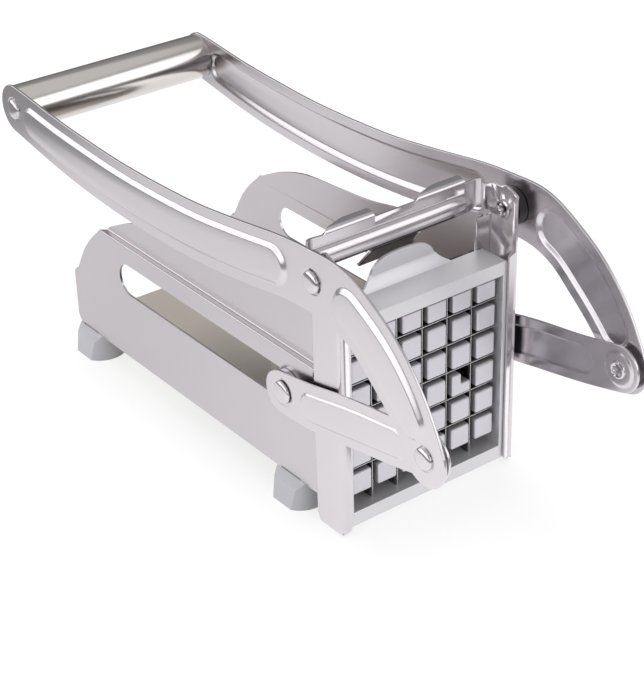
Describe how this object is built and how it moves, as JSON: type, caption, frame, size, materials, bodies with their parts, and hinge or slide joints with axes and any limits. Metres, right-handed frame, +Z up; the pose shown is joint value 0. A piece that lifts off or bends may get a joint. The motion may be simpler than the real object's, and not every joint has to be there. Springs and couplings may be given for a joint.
{
  "type": "french fry cutter",
  "caption": "Hand-lever potato cutter: swinging lever arms draw a slotted pusher block through a square blade grid held in a removable cartridge between two uprights.",
  "frame": {"origin": "on the table, under the middle of the closed cutter's bounding box", "axes": "+Y from the blade grid back to the handle along the pusher's travel, +X across to the right-hand side seen from the grid, +Z up"},
  "size_m": [0.1036, 0.3018, 0.1243],
  "materials": {
    "steel": "satin stamped sheet steel",
    "inner_steel": "satin sheet steel inside the body",
    "handle_steel": "polished steel tube",
    "cast_metal": "matt die casting",
    "blade_steel": "ground blade strip",
    "bush_plastic": "matt moulded plastic",
    "foot_rubber": "matt grey rubber"
  },
  "bodies": {
    "frame": {"side_panel_left": "steel", "side_panel_right": "steel", "floor_tray": "inner_steel", "upright_left": "steel", "upright_right": "steel", "cross_brace": "steel", "blade_cartridge": "cast_metal", "vertical_blades": "blade_steel", "horizontal_blades": "blade_steel", "foot_front_left": "foot_rubber", "foot_front_right": "foot_rubber", "foot_rear_left": "foot_rubber", "foot_rear_right": "foot_rubber", "foot_rivets": "steel", "pivot_rivet_left": "steel", "pivot_rivet_right": "steel", "pivot_spacer_left": "steel", "pivot_spacer_right": "steel"},
    "lever": {"arm_left": "steel", "arm_right": "steel", "handle_tube": "handle_steel", "handle_plugs": "bush_plastic", "handle_rod": "handle_steel", "crank_rivet_left": "steel", "crank_rivet_right": "steel"},
    "pusher": {"pusher_block": "cast_metal", "pusher_carrier": "inner_steel", "carrier_rivets": "steel", "axle": "steel", "slide_bush_left": "bush_plastic", "slide_bush_right": "bush_plastic", "slide_washer_left": "steel", "slide_washer_right": "steel"},
    "links": {"link_left": "steel", "link_right": "steel", "link_stud_left": "steel", "link_stud_right": "steel"}
  },
  "joints": [
    {"name": "lever_swing", "type": "hinge", "parent": "frame", "child": "lever", "pos_m": [0, -0.07703, 0.1115], "axis": [1, 0, 0], "range_deg": [0, 95]},
    {"name": "pusher_slide", "type": "slide", "parent": "frame", "child": "pusher", "axis": [0, 1, 0], "range_m": [0, 0.1133]},
    {"name": "link_swing", "type": "hinge", "parent": "pusher", "child": "links", "pos_m": [0, -0.05153, 0.0518], "axis": [1, 0, 0], "range_deg": [0, 9.4]}
  ],
  "couplings": [
    {"joint": "pusher_slide", "follows": "lever_swing", "m_per_rad": 0.068248},
    {"joint": "link_swing", "follows": "lever_swing", "ratio": 0.097893}
  ]
}
